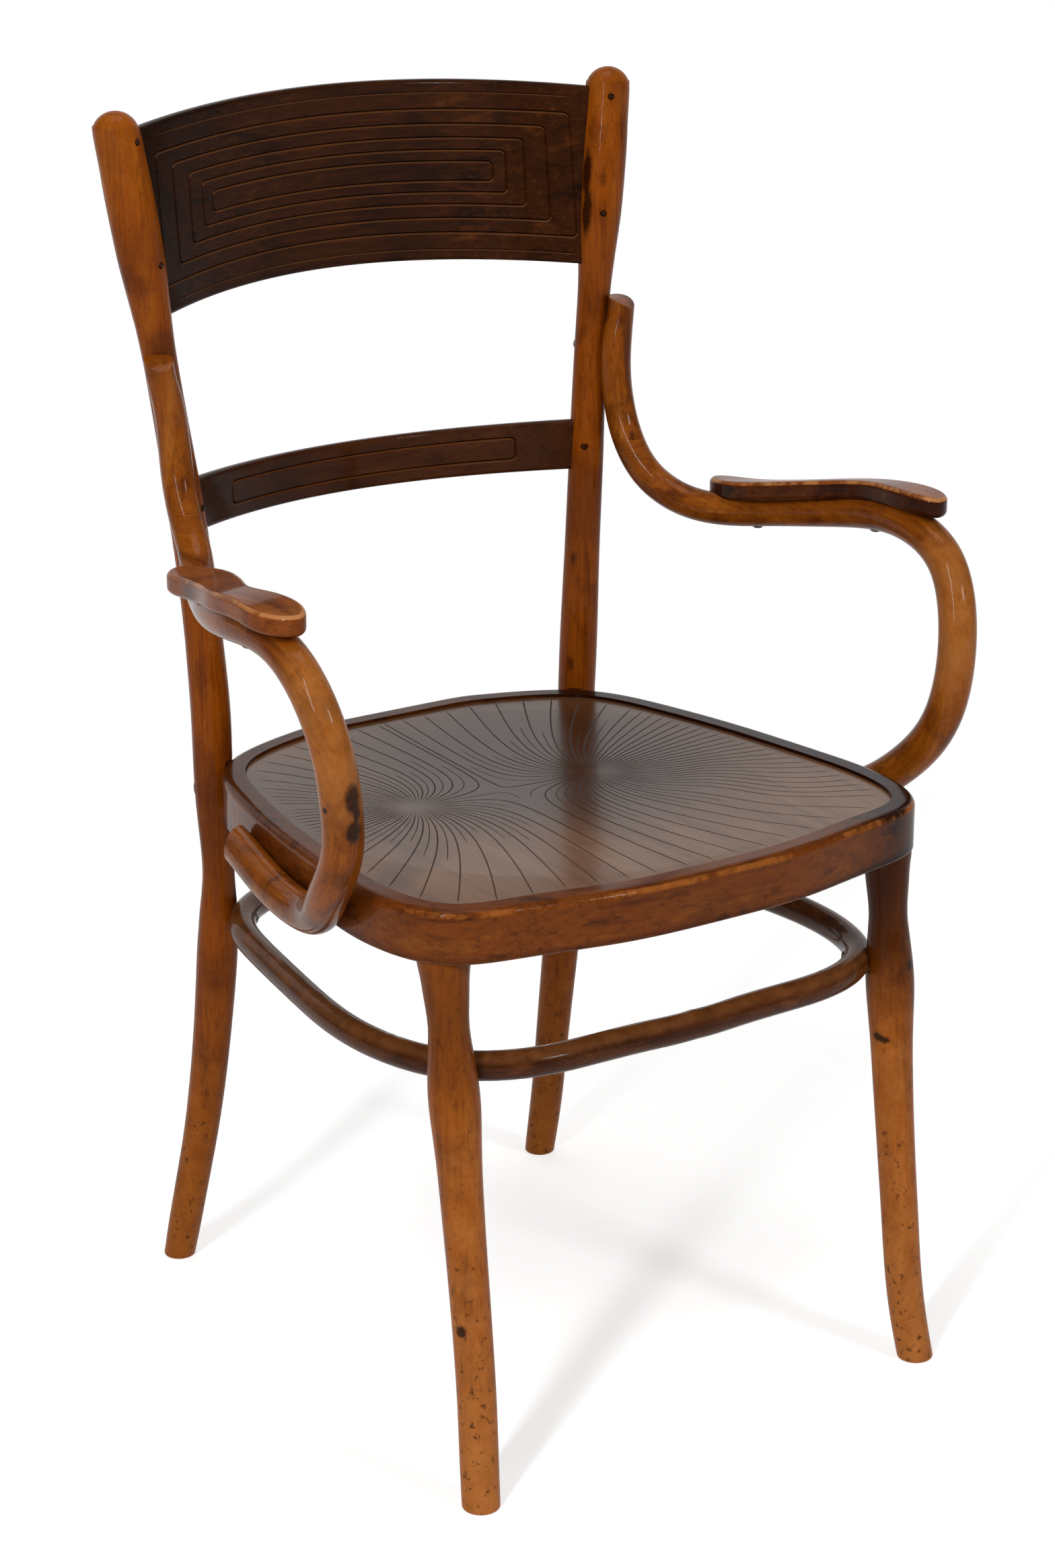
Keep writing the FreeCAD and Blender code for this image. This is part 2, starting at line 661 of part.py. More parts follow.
def front_leg_screws(grow=0.0):
    """From inside the ring into the leg's tenon."""
    height = RING_BOTTOM + LEG_TENON_LENGTH / 2
    tenon = front_leg_at(RING_BOTTOM)[0]
    tenon.z = height
    inner = ring_curve(RING_WIDTH, height)
    foot = inner.value(inner.parameter(tenon))
    aim = tenon - foot
    length = aim.Length + SCREW_HEAD_HEIGHT
    aim.normalize()
    return [screw(foot - aim * (SCREW_HEAD_HEIGHT - SCREW_HEAD_SUNK), aim, length, grow)]


def board_pin(height, let_in, grow):
    """Peg through the front of a post and the board's end."""
    centre, radius = post_at(height)
    across = radius - let_in + PIN_INSET
    reach = math.sqrt(radius ** 2 - across ** 2)
    start = centre - Vector(across, reach + PIN_PROUD, 0)
    return pin(start, Vector(0, 1, 0), 2 * reach + PIN_PROUD, grow)


def crest_pins(grow=0.0):
    return [board_pin(CREST_TOP - drop, CREST_LET_IN, grow) for drop in CREST_PIN_DROPS]


def rail_pins(grow=0.0):
    return [board_pin(RAIL_TOP - RAIL_HEIGHT / 2, RAIL_LET_IN, grow)]


def bolt_line():
    """Where the bolt crosses the ring's inner face, its direction from the post, its run."""
    height = RING_BOTTOM + BOLT_RISE
    centre, radius = post_at(height)
    inner = ring_curve(RING_WIDTH, height)
    foot = inner.value(inner.parameter(centre))
    aim = foot - centre
    run = aim.Length
    aim.normalize()
    return foot, aim, run, radius


def rear_leg_bolts(grow=0.0):
    """Domed bolt from the back of the post through post and ring."""
    foot, aim, run, radius = bolt_line()
    seat = -(run + radius - BOLT_HEAD_SUNK)
    end = WASHER_THICKNESS + NUT_HEIGHT + BOLT_END
    top = seat - (2 * BORE_RUN_OUT if grow else BOLT_HEAD_HEIGHT)
    shank = BOLT_RADIUS + grow
    head = BOLT_HEAD_RADIUS + grow
    profile = [
        (top, 0), (top, head if grow else head * 0.35), (seat - BOLT_HEAD_HEIGHT * 0.4, head),
        (seat, head), (seat, shank), (end - 1, shank), (end, shank - 1), (end, 0),
    ]
    return [spun(profile, foot, aim)]


def rear_leg_washers():
    foot, aim = bolt_line()[:2]
    hole = BOLT_RADIUS + CLEARANCE
    profile = [(0, hole), (0, WASHER_RADIUS), (WASHER_THICKNESS, WASHER_RADIUS), (WASHER_THICKNESS, hole)]
    return [spun(profile, foot, aim)]


def rear_leg_nuts():
    foot, aim = bolt_line()[:2]
    corners = []
    for i in range(7):
        turn = math.pi * i / 3
        corners.append(Vector(NUT_RADIUS * math.cos(turn), NUT_RADIUS * math.sin(turn), WASHER_THICKNESS))
    block = Part.Face(Part.makePolygon(corners)).extrude(Vector(0, 0, NUT_HEIGHT))
    block = block.cut(Part.makeCylinder(BOLT_RADIUS + CLEARANCE, 4 * NUT_HEIGHT, Vector(0, 0, -NUT_HEIGHT)))
    block.Placement = FreeCAD.Placement(foot, FreeCAD.Rotation(UP, aim))
    return [block]


def washer_seat():
    """Flat place cut into the ring's inner face for the washer."""
    foot, aim = bolt_line()[:2]
    return Part.makeCylinder(WASHER_RADIUS + WASHER_ROOM, RING_WIDTH, foot, aim)


# Assembly

def carved(body, tools):
    for tool in tools:
        body = body.cut(tool)
    return single(body)


def finished_seat_ring():
    tenon = front_leg_at(RING_BOTTOM)[0]
    mortise = Part.makeCylinder(
        LEG_TENON_RADIUS + CLEARANCE, LEG_TENON_LENGTH + CLEARANCE + 1, tenon - Vector(0, 0, 1))
    tools = [mortise, washer_seat()] + arm_seat_screws(CLEARANCE) + front_leg_screws(CLEARANCE)
    tools += rear_leg_bolts(CLEARANCE)
    return carved(ring_body(), tools + [mirrored(tool) for tool in tools])


def finished_post():
    ring = ring_prism(-CLEARANCE, RING_BOTTOM - CLEARANCE, SEAT_HEIGHT + CLEARANCE)
    tools = [ring, hoop_body(CLEARANCE), crest(CLEARANCE), lower_rail(CLEARANCE)]
    tools += arm_top_screws(CLEARANCE) + stretcher_screws(CLEARANCE) + rear_leg_bolts(CLEARANCE)
    tools += crest_pins(CLEARANCE) + rail_pins(CLEARANCE)
    return carved(post_body(), tools)


def finished_front_leg():
    tools = [hoop_body(CLEARANCE)] + stretcher_screws(CLEARANCE) + front_leg_screws(CLEARANCE)
    return carved(front_leg_body(), tools)


def finished_arm():
    post = turned(post_at, POST_PROFILE, CLEARANCE)
    ring = ring_prism(-CLEARANCE, RING_BOTTOM - CLEARANCE, SEAT_HEIGHT + CLEARANCE)
    tools = [post, ring] + pad_screws(CLEARANCE) + arm_top_screws(CLEARANCE)
    return carved(arm_body(), tools + arm_seat_screws(CLEARANCE))


def finished_pad():
    return carved(pad_body(), [arm_bar(*PAD_STRETCH, 12, CLEARANCE)] + pad_screws(CLEARANCE))


def finished_hoop():
    tools = stretcher_screws(CLEARANCE)
    return carved(hoop_body(), tools + [mirrored(tool) for tool in tools])


def pinned_board(body, pins):
    """A board with its peg holes; on a low back the arms' screws are drilled through it too."""
    tools = pins + arm_top_screws(CLEARANCE)
    return carved(body, tools + [mirrored(tool) for tool in tools])


def build():
    parts = {
        "seat_ring": [finished_seat_ring()],
        "seat_panel": [single(seat_panel())],
        "stretcher_ring": [finished_hoop()],
        "crest_rail": [pinned_board(crest(), crest_pins(CLEARANCE))],
        "lower_back_rail": [pinned_board(lower_rail(), rail_pins(CLEARANCE))],
    }
    sided = {
        "back_post": [finished_post()],
        "front_leg": [finished_front_leg()],
        "arm": [finished_arm()],
        "arm_pad": [finished_pad()],
        "arm_pad_screws": pad_screws(),
        "arm_top_screw": arm_top_screws(),
        "arm_seat_screws": arm_seat_screws(),
    }
    for name, solids in sided.items():
        parts[name + "_right"] = solids
        parts[name + "_left"] = [mirrored(solid) for solid in solids]
    paired = {
        "stretcher_screws": stretcher_screws(),
        "front_leg_screws": front_leg_screws(),
        "crest_pins": crest_pins(),
        "lower_rail_pins": rail_pins(),
        "rear_leg_bolts": rear_leg_bolts(),
        "rear_leg_washers": rear_leg_washers(),
        "rear_leg_nuts": rear_leg_nuts(),
    }
    for name, solids in paired.items():
        parts[name] = solids + [mirrored(solid) for solid in solids]
    return parts


def write_out(parts):
    """Stand the chair on the origin and write one file per node."""
    shapes = {}
    whole = FreeCAD.BoundBox()
    for name, solids in parts.items():
        shape = Part.makeCompound(solids) if len(solids) > 1 else solids[0]
        shapes[name] = shape
        whole.add(shape.optimalBoundingBox(False, False))
    shift = Vector(-whole.Center.x, -whole.Center.y, -whole.ZMin)
    os.makedirs("parts", exist_ok=True)
    for name, shape in shapes.items():
        shape.translate(shift)
        shape.exportStep("parts/" + name + ".step")


write_out(build())
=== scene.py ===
import math

import bmesh
import bpy
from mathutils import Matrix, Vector
from mathutils.bvhtree import BVHTree
from mathutils.interpolate import poly_3d_calc


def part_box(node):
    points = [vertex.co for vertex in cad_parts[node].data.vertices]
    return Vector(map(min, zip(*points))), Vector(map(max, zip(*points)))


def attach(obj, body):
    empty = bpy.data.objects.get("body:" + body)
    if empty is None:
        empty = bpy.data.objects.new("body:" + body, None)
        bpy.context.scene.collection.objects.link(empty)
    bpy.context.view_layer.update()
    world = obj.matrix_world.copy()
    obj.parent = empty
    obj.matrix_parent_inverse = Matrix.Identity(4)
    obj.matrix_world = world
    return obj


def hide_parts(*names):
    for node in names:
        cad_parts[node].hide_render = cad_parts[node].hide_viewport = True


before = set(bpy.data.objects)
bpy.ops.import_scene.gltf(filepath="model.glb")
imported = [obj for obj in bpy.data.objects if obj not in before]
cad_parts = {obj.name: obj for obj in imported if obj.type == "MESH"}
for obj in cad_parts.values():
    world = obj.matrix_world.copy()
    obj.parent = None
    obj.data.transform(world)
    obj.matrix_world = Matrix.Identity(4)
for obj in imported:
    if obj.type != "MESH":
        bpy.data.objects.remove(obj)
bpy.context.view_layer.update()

# Bentwood armchair in metres. It faces -Y and stands on the floor at Z 0.

# Camera, solved from the photograph
CAMERA_PLACE = (-1.4176, -2.0739, 1.2791)
CAMERA_TURN = (71.310, 0.0, -34.451)
CAMERA_LENS = 81.96
CAMERA_SENSOR = 36.0
CAMERA_CLIP_END = 100.0

# Levels and places of the chair that the finishes follow
TOTAL_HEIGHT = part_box("back_post_right")[1].z
RING_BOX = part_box("seat_ring")
RING_MIDDLE_Y = ((RING_BOX[0] + RING_BOX[1]) / 2).y
RING_BOTTOM = RING_BOX[0].z
RING_TOP = RING_BOX[1].z
CREST_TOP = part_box("crest_rail")[1].z
ARM_LOOP_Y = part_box("arm_right")[0].y + 0.095
ARM_LOOP_Z = 0.505
ARM_LEAVES_POST = (0.625, 0.640)
PAD_MIDDLE_X = 0.270
# Centres of the painted dark reflection on the seat panel
PANEL_REFLECTION_MIDDLE = (0.04, 0.03, 0.431)
PANEL_REFLECTION_LEFT = (-0.17, 0.04, 0.431)

# How much the grain is drawn out along the wood, and round the seat and the arm's loop
GRAIN_STRETCH = 0.055
RING_GRAIN_TURN = 0.2
ARM_GRAIN_TURN = 0.1

# Noise in the wood: scale, detail and roughness
STREAKS = (70, 5.0, 0.6)
FINE_GRAIN = (330, 3.0, 0.7)
CLOUDS = (11, 3.0)
MOTTLE = (24, 5.0, 0.6)
PORES = (900, 2.0, 0.6)
DENTS = (210, 3.0, 0.6)
WEAR_AND_LIGHT_PATCHES = (60, 6.0, 0.7)
RAGGED_EDGE = (320, 4.0, 0.7)

# How strongly the finer layers colour the wood
FINE_SHARE = 0.45
CLOUD_SHARE = 0.5
MOTTLE_SHARE = 0.55
PORE_SHARE = 0.45
DENT_SHARE = 0.8
MARK_LIMIT = 0.92
MARK_GAIN = 2.2
SPOT_CORE = 0.35

# What is left of the dark tone in shaded wood, in dents and in marks
SHADE_TONE = 0.33
DENT_TONE = 0.25
MARK_TONE = 0.15

# Roughness that clouds, fine grain and wear add, and how far each layer stands up
CLOUD_ROUGHNESS = 0.12
FINE_ROUGHNESS = 0.08
WEAR_ROUGHNESS = 0.16
FINE_RELIEF = 0.35
PORE_RELIEF = -0.3
DENT_RELIEF = -0.8

# Varnish over the wood
WOOD_SPECULAR = 0.05
COAT_ROUGHNESS = 0.09
COAT_IOR = 1.22

WOOD_BUMP = 0.00035
PANEL_BUMP = 0.00008
STEEL_BUMP = 0.0001
BLACK = (0.0, 0.0, 0.0, 1.0)
WHITE = (1.0, 1.0, 1.0, 1.0)

# Amounts by height: (level, amount)
DENTS_BY_HEIGHT = ((0.0, 1.0), (0.10, 0.75), (0.22, 0.0), (TOTAL_HEIGHT, 0.0))
# On the posts: painted shade under the seat ring, and darker round the arms' upper ends
POST_SHADE_BY_HEIGHT = (
    (0.0, 0.0), (0.22, 0.04), (0.31, 0.20), (0.37, 0.38), (0.44, 0.26), (0.50, 0.12),
    (0.60, 0.18), (0.74, 0.26), (0.79, 0.12), (0.90, 0.03), (TOTAL_HEIGHT, 0.1),
)
POST_WEAR_BY_HEIGHT = (
    (0.0, 0.62), (0.05, 0.52), (0.16, 0.40), (0.30, 0.12), (0.5, 0.1),
    (0.86, 0.16), (TOTAL_HEIGHT, 0.34),
)
# On the legs: painted shade on the necks under the seat ring
LEG_SHADE_BY_HEIGHT = (
    (0.0, 0.0), (0.20, 0.0), (0.28, 0.12), (0.325, 0.44), (0.36, 0.50), (0.42, 0.40),
)
LEG_WEAR_BY_HEIGHT = (
    (0.0, 0.66), (0.06, 0.56), (0.15, 0.44), (0.25, 0.34), (0.30, 0.12), (0.42, 0.0),
)

# Painted shade that fades out: place and reach
# Above the left arm's upper end, where it meets the post
POST_SHADE_SPOT = ((-0.196, 0.168, 0.752), 0.020)
# On the right front leg's neck, under the seat
LEG_SHADE_SPOT = ((0.188, -0.19, 0.345), 0.13)
# Below the left pad's front end
ARM_SHADE_SPOT = ((-0.2700, -0.1780, 0.5850), 0.014)

# Small ragged marks: place, reach, squeeze (a small one makes a tall mark) and strength
POST_MARKS = (
    ((0.1890, 0.1868, 0.842), 0.0060, 0.22, 1.0),
    ((0.1862, 0.1826, 0.812), 0.0060, 0.22, 1.0),
    ((0.1959, 0.1744, 0.838), 0.0042, 0.5, 0.4),
    ((0.1604, 0.1617, 0.542), 0.0040, 0.5, 0.5),
    ((0.1555, 0.1588, 0.457), 0.0045, 0.5, 0.5),
)
LEG_MARKS = (
    ((0.1752, -0.2078, 0.2562), 0.0065, 1.4, 1.0),
    ((0.1805, -0.2120, 0.2550), 0.0060, 1.4, 1.0),
    ((0.1995, -0.2145, 0.3105), 0.0060, 1.2, 1.0),
    ((0.2010, -0.2130, 0.2810), 0.0060, 0.6, 0.7),
    ((-0.2049, -0.2249, 0.1324), 0.0060, 1.0, 1.0),
)
ARM_MARKS = (
    ((-0.2640, -0.1912, 0.5225), 0.0085, 0.6, 1.0),
    ((-0.2630, -0.1905, 0.4985), 0.0082, 0.7, 1.0),
    ((-0.2610, -0.1900, 0.5110), 0.0042, 0.6, 1.0),
    ((-0.2800, -0.1795, 0.5140), 0.0035, 1.0, 1.0),
)

# Grooves: half width and depth, and how far their cutters stand out of the surface
SEAT_GROOVE = (0.0006, 0.0005)
SEAT_FINE_GROOVE = (0.0004, 0.00035)
SEAT_CUTTER_OUT = 0.0002
OBLONG_GROOVE = (0.0012, 0.0011)
EDGE_GROOVE = (0.0007, 0.0005)
BOARD_CUTTER_OUT = 0.0003

# Taper of a groove's ends: smallest size, and growth per point from the start and to the end
GROOVE_START = (0.15, 0.17)
GROOVE_END = (0.3, 0.35)

# Pressed seat: lines leave two centres and bend away from each other. Round each centre, every
# line is long on the open side, which has a direction and a half width in radians.
SEAT_CENTRES = ((-0.098, -0.004), (0.058, -0.010))
SEAT_LINE_COUNTS = (60, 62)
SEAT_OPEN_SIDES = ((math.pi, 0.5), (-0.1, 1.25))
SEAT_LINE_START = 0.008
SEAT_LINE_STEP = 0.004
SEAT_LINE_MARGIN = 0.005
SEAT_LONG_LINE = 1.0
SEAT_SHORT_LINE = 0.095
SEAT_SHORT_LINE_SWING = 0.025
SEAT_SHORT_LINE_PACE = 2.4
SEAT_PROBE_HEIGHT = 0.6

# The soft S in the seat's lines: how far it swings, its length, where along a line it starts, the
# side that it is on (radians clockwise from +X, and half width), and how it sets in along a line
SEAT_WAVE = 0.0075
SEAT_WAVE_LENGTH = 0.135
SEAT_WAVE_START = 0.055
SEAT_WAVE_SIDE = (0.85, 0.80)
SEAT_WAVE_RISE = (0.03, 0.05)

# Incised boards: half lengths and half heights of the nested oblongs, and lines along the edges.
# Their levels rise by the arch at the middle of the board, and by nothing at the reach.
CREST_OBLONGS = (
    (0.1240, 0.0075), (0.1340, 0.0162), (0.1475, 0.0255),
    (0.1640, 0.0360), (0.1816, 0.0472),
)
CREST_EDGE_LINES = (0.0600, -0.0600)
CREST_EDGE_STEPS = 46
CREST_EDGE_STEP = 0.004
CREST_LEVEL = 0.8379
CREST_ARCH = 0.0098
CREST_REACH = 0.19
RAIL_OBLONGS = ((0.128, 0.0085),)
RAIL_LEVEL = 0.6308
RAIL_ARCH = -0.0045
RAIL_REACH = 0.165
OBLONG_CORNER = 0.004
OBLONG_CORNER_STEPS = 6
OBLONG_SIDE_STEPS = 48
BOARD_PROBE_Y = -0.5

# Shading of carved boards: how far inside a face its normal is looked up, and how alike it must be
NORMAL_INSET = 0.03
NORMAL_LIKENESS = 0.7

# Studio
FLOOR_REACH = 30.0
FLOOR_FADE = (0.6, 1.5)
FLOOR_LIFT = 0.59
FLOOR_MIRRORED_LIFT = 0.40
BACKDROP_AWAY = 5.0
BACKDROP_SIZE = (12.0, 6.0)
WORLD_COLOR = (1.0, 0.97, 0.93, 1.0)
WORLD_STRENGTH = 0.17
LAMP_TARGET = (0.0, 0.0, 0.45)
LAMPS = {  # place, size, power
    "key": ((-2.3, -1.5, 2.3), (0.2, 2.0), 52),
    "fill": ((0.8, -2.7, 2.1), (0.5, 0.5), 22),
    "top": ((0.1, 0.2, 2.9), (1.3, 1.3), 15),
}


def tone(red, green, blue):
    """Linear colour from the 0 to 255 values seen on a screen."""
    linear = []
    for value in (red, green, blue):
        share = value / 255
        linear.append(share / 12.92 if share < 0.04045 else ((share + 0.055) / 1.055) ** 2.4)
    return (*linear, 1.0)


def darker(color, share):
    return tuple(value * share for value in color[:3]) + (1.0,)


class Graph:
    """Short calls for the nodes of one material."""

    def __init__(self, name):
        self.material = bpy.data.materials.new(name)
        self.material.use_nodes = True
        self.nodes = self.material.node_tree.nodes
        self.links = self.material.node_tree.links
        self.nodes.clear()
        self.place = self.add("ShaderNodeTexCoord").outputs["Object"]
        parts = self.add("ShaderNodeSeparateXYZ", {"Vector": self.place})
        self.x = parts.outputs["X"]
        self.y = parts.outputs["Y"]
        self.z = parts.outputs["Z"]

    def add(self, kind, inputs=(), **settings):
        node = self.nodes.new(kind)
        for key, value in settings.items():
            setattr(node, key, value)
        for key, value in dict(inputs).items():
            if isinstance(value, bpy.types.NodeSocket):
                self.links.new(value, node.inputs[key])
            else:
                node.inputs[key].default_value = value
        return node

    def math(self, operation, *values):
        return self.add("ShaderNodeMath", enumerate(values), operation=operation).outputs[0]

    def vector_math(self, operation, first, second):
        return self.add("ShaderNodeVectorMath", {0: first, 1: second}, operation=operation)

    def total(self, *values):
        result = values[0]
        for value in values[1:]:
            result = self.math("ADD", result, value)
        return result

    def times(self, *values):
        result = values[0]
        for value in values[1:]:
            result = self.math("MULTIPLY", result, value)
        return result

    def combine(self, x, y, z):
        return self.add("ShaderNodeCombineXYZ", {"X": x, "Y": y, "Z": z}).outputs[0]

    def length(self, across, along):
        """Length of a flat step."""
        return self.math("SQRT", self.total(self.times(across, across), self.times(along, along)))

    def between(self, value, low, high):
        """Smooth 0 to 1 as a value passes from low to high, or back when low is the larger."""
        node = self.add("ShaderNodeMapRange", {"Value": value}, interpolation_type="SMOOTHSTEP")
        node.inputs["From Min"].default_value = min(low, high)
        node.inputs["From Max"].default_value = max(low, high)
        node.inputs["To Min"].default_value = 0.0 if low < high else 1.0
        node.inputs["To Max"].default_value = 1.0 if low < high else 0.0
        return node.outputs["Result"]

    def noise(self, vector, scale, detail=4.0, roughness=0.55):
        inputs = {"Vector": vector, "Scale": scale, "Detail": detail, "Roughness": roughness}
        return self.add("ShaderNodeTexNoise", inputs).outputs[0]

    def blotches(self, scale, detail, roughness, low, high):
        """Patches of noise that don't follow the grain."""
        return self.between(self.noise(self.place, scale, detail, roughness), low, high)

    def mix(self, factor, first, second):
        inputs = {0: factor, 6: first, 7: second}
        return self.add("ShaderNodeMix", inputs, data_type="RGBA").outputs[2]

    def ramp(self, factor, stops):
        node = self.add("ShaderNodeValToRGB", {0: factor})
        band = node.color_ramp
        while len(band.elements) < len(stops):
            band.elements.new(1.0)
        for element, (position, color) in zip(band.elements, stops):
            element.position = position
            element.color = color
        return node.outputs["Color"]

    def levels(self, value, stops):
        """Amount along a value: (position, amount) stops joined by straight stretches."""
        low = stops[0][0]
        reach = stops[-1][0] - low
        share = self.math("DIVIDE", self.math("SUBTRACT", value, low), reach)
        grey = [((at - low) / reach, (amount, amount, amount, 1.0)) for at, amount in stops]
        return self.ramp(share, grey)

    def near(self, centre, reach, squeeze=1.0):
        """1 at a place on the chair, falling to 0 at its reach; a small squeeze makes it taller."""
        place = self.vector_math("MULTIPLY", self.place, (1.0, 1.0, squeeze)).outputs[0]
        middle = (centre[0], centre[1], centre[2] * squeeze)
        away = self.vector_math("DISTANCE", place, middle).outputs["Value"]
        return self.between(away, reach, reach * SPOT_CORE)

    def ragged_spots(self, table):
        """Dark marks, each with its place, reach, squeeze and strength."""
        spots = []
        for centre, reach, squeeze, strength in table:
            ragged = self.times(self.noise(self.place, *RAGGED_EDGE), MARK_GAIN)
            spots.append(self.times(self.near(centre, reach, squeeze), ragged, strength))
        return self.total(*spots)

    def tilt(self):
        """1 on faces that look up, 0 on walls, -1 on faces that look down."""
        normal = self.add("ShaderNodeNewGeometry").outputs["Normal"]
        return self.add("ShaderNodeSeparateXYZ", {"Vector": normal}).outputs["Z"]

    def cut_faces(self):
        """1 on the faces of carved grooves."""
        return self.add("ShaderNodeAttribute", attribute_name="cut").outputs["Fac"]

    def bump(self, height, distance):
        inputs = {"Height": height, "Distance": distance, "Strength": 1.0}
        return self.add("ShaderNodeBump", inputs).outputs["Normal"]

    def blend(self, factor, first, second):
        """One shader to another as the factor goes from 0 to 1."""
        return self.add("ShaderNodeMixShader", {0: factor, 1: first, 2: second}).outputs[0]

    def glow(self, strength):
        inputs = {"Color": WHITE, "Strength": strength}
        return self.add("ShaderNodeEmission", inputs).outputs[0]

    def finish(self, shader):
        self.add("ShaderNodeOutputMaterial", {"Surface": shader})
        return self.material

    def surface(self, inputs):
        return self.finish(self.add("ShaderNodeBsdfPrincipled", inputs).outputs[0])


# Grain directions: each gives coordinates that are stretched along the wood

def upright_grain(g):
    return g.combine(g.x, g.y, g.times(g.z, GRAIN_STRETCH))


def sideways_grain(g):
    return g.combine(g.times(g.x, GRAIN_STRETCH), g.y, g.z)


def lengthways_grain(g):
    return g.combine(g.x, g.times(g.y, GRAIN_STRETCH), g.z)


def round_grain(g):
    """Grain bent round the seat."""
    back = g.math("SUBTRACT", g.y, RING_MIDDLE_Y)
    turn = g.math("ARCTAN2", g.x, g.math("MULTIPLY", back, -1.0))
    return g.combine(g.length(g.x, back), g.times(turn, RING_GRAIN_TURN * GRAIN_STRETCH), g.z)


def arm_grain(g):
    """Grain that runs down the post, turns forward and follows the loop at the front."""
    forward = g.math("SUBTRACT", g.y, ARM_LOOP_Y)
    over = g.math("SUBTRACT", g.z, ARM_LOOP_Z)
    turn = g.times(g.math("ARCTAN2", over, g.math("MULTIPLY", forward, -1.0)),
                   ARM_GRAIN_TURN * GRAIN_STRETCH)
    looped = g.combine(g.x, turn, g.length(forward, over))
    at_front = g.between(g.y, ARM_LOOP_Y + 0.01, ARM_LOOP_Y)
    at_post = g.between(g.z, *ARM_LEAVES_POST)
    straight = g.mix(at_post, lengthways_grain(g), upright_grain(g))
    return g.mix(at_front, straight, looped)


# Varnished wood

def stained(g, along, streak, fine, cloud, pores, tones):
    """Colour of the stain: streaks, with fine grain, clouds, mottling and pores over them."""
    dark, middle, light, _ = tones
    crossed = g.vector_math("ADD", g.place, along).outputs[0]
    mottle = g.noise(crossed, *MOTTLE)
    color = g.ramp(streak, ((0.30, dark), (0.46, middle), (0.58, middle), (0.72, light)))
    color = g.mix(g.times(g.between(fine, 0.50, 0.75), FINE_SHARE), color, light)
    darkening = (
        (g.between(fine, 0.50, 0.30), FINE_SHARE),
        (g.between(cloud, 0.50, 0.72), CLOUD_SHARE),
        (g.between(mottle, 0.50, 0.70), MOTTLE_SHARE),
        (pores, PORE_SHARE),
    )
    for layer, share in darkening:
        color = g.mix(g.times(layer, share), color, dark)
    return color


def dented(g, pits):
    """Small dents, thick at the feet and as thick as pits above them."""
    dents = g.between(g.noise(g.place, *DENTS), 0.57, 0.72)
    low_down = g.levels(g.z, DENTS_BY_HEIGHT)
    return g.times(dents, g.math("MINIMUM", g.total(pits, low_down), 1.0))


def groove_walls(g, color, worn):
    """Painted light in the worn tone on the groove wall that looks up, and painted shade,
    nearly black, on the one that looks down.
    """
    cut = g.cut_faces()
    tilt = g.tilt()
    color = g.mix(g.times(cut, g.between(tilt, 0.1, 0.5), 0.38), color, worn)
    return g.mix(g.times(cut, g.between(tilt, 0.0, -0.4), 0.75), color, BLACK)


def wood(name, grain, tones, shade=None, wear_and_painted_light=None, marks=None, cut=False,
         gloss=0.40, coat=0.45, pits=0.25):
    """Varnished beech: streaks and pores along the grain, cloudy stain, dark and worn places, and
    painted light and shade.

    tones are dark, middle, light and worn; the worn tone is also the painted light on the hoop's
    upper side and on groove walls. shade (dark places and painted shade) and wear_and_painted_light
    (worn places and painted light) are functions that give an amount of 0 to 1, and marks is a
    table of spots. gloss is the lowest roughness.
    """
    dark, _, _, worn = tones
    g = Graph(name)
    along = grain(g)
    streak = g.noise(along, *STREAKS)
    fine = g.noise(along, *FINE_GRAIN)
    cloud = g.noise(g.place, *CLOUDS)
    pores = g.between(g.noise(along, *PORES), 0.60, 0.72)
    color = stained(g, along, streak, fine, cloud, pores, tones)
    rough = g.total(gloss, g.times(cloud, CLOUD_ROUGHNESS), g.times(fine, FINE_ROUGHNESS))
    if shade:
        broken = g.between(g.total(shade(g), g.times(streak, 0.5), -0.25), 0.05, 0.95)
        color = g.mix(broken, color, darker(dark, SHADE_TONE))
    if wear_and_painted_light:
        patches = g.times(g.noise(g.place, *WEAR_AND_LIGHT_PATCHES), 0.8)
        # rubbed is worn wood, and on the hoop it is painted light on the upper side.
        rubbed = g.between(g.total(wear_and_painted_light(g), patches, -0.4), 0.1, 0.9)
        color = g.mix(rubbed, color, worn)
        rough = g.total(rough, g.times(rubbed, WEAR_ROUGHNESS))
    dents = dented(g, pits)
    color = g.mix(g.times(dents, DENT_SHARE), color, darker(dark, DENT_TONE))
    height = g.total(g.times(fine, FINE_RELIEF), g.times(pores, PORE_RELIEF),
                     g.times(dents, DENT_RELIEF))
    normal = g.bump(height, WOOD_BUMP)
    if marks:
        amount = g.math("MINIMUM", g.ragged_spots(marks), MARK_LIMIT)
        color = g.mix(amount, color, darker(dark, MARK_TONE))
    # Painted light and shade on the walls of the grooves.
    if cut:
        color = groove_walls(g, color, worn)
    return g.surface({
        "Base Color": color, "Roughness": rough, "Normal": normal,
        "Specular IOR Level": WOOD_SPECULAR,
        "Coat Weight": coat, "Coat Roughness": COAT_ROUGHNESS, "Coat IOR": COAT_IOR,
    })


# Where the wood is dark or worn, and where shade and light are painted

def post_shade(g):
    # Painted shade under the seat ring and above the left arm's upper end.
    return g.total(g.levels(g.z, POST_SHADE_BY_HEIGHT), g.times(g.near(*POST_SHADE_SPOT), 0.3))


def post_wear(g):
    return g.levels(g.z, POST_WEAR_BY_HEIGHT)


def leg_shade(g):
    """Painted shade on the necks under the seat, the right one most."""
    return g.total(g.levels(g.z, LEG_SHADE_BY_HEIGHT), g.times(g.near(*LEG_SHADE_SPOT), 0.26))


def leg_wear(g):
    return g.levels(g.z, LEG_WEAR_BY_HEIGHT)


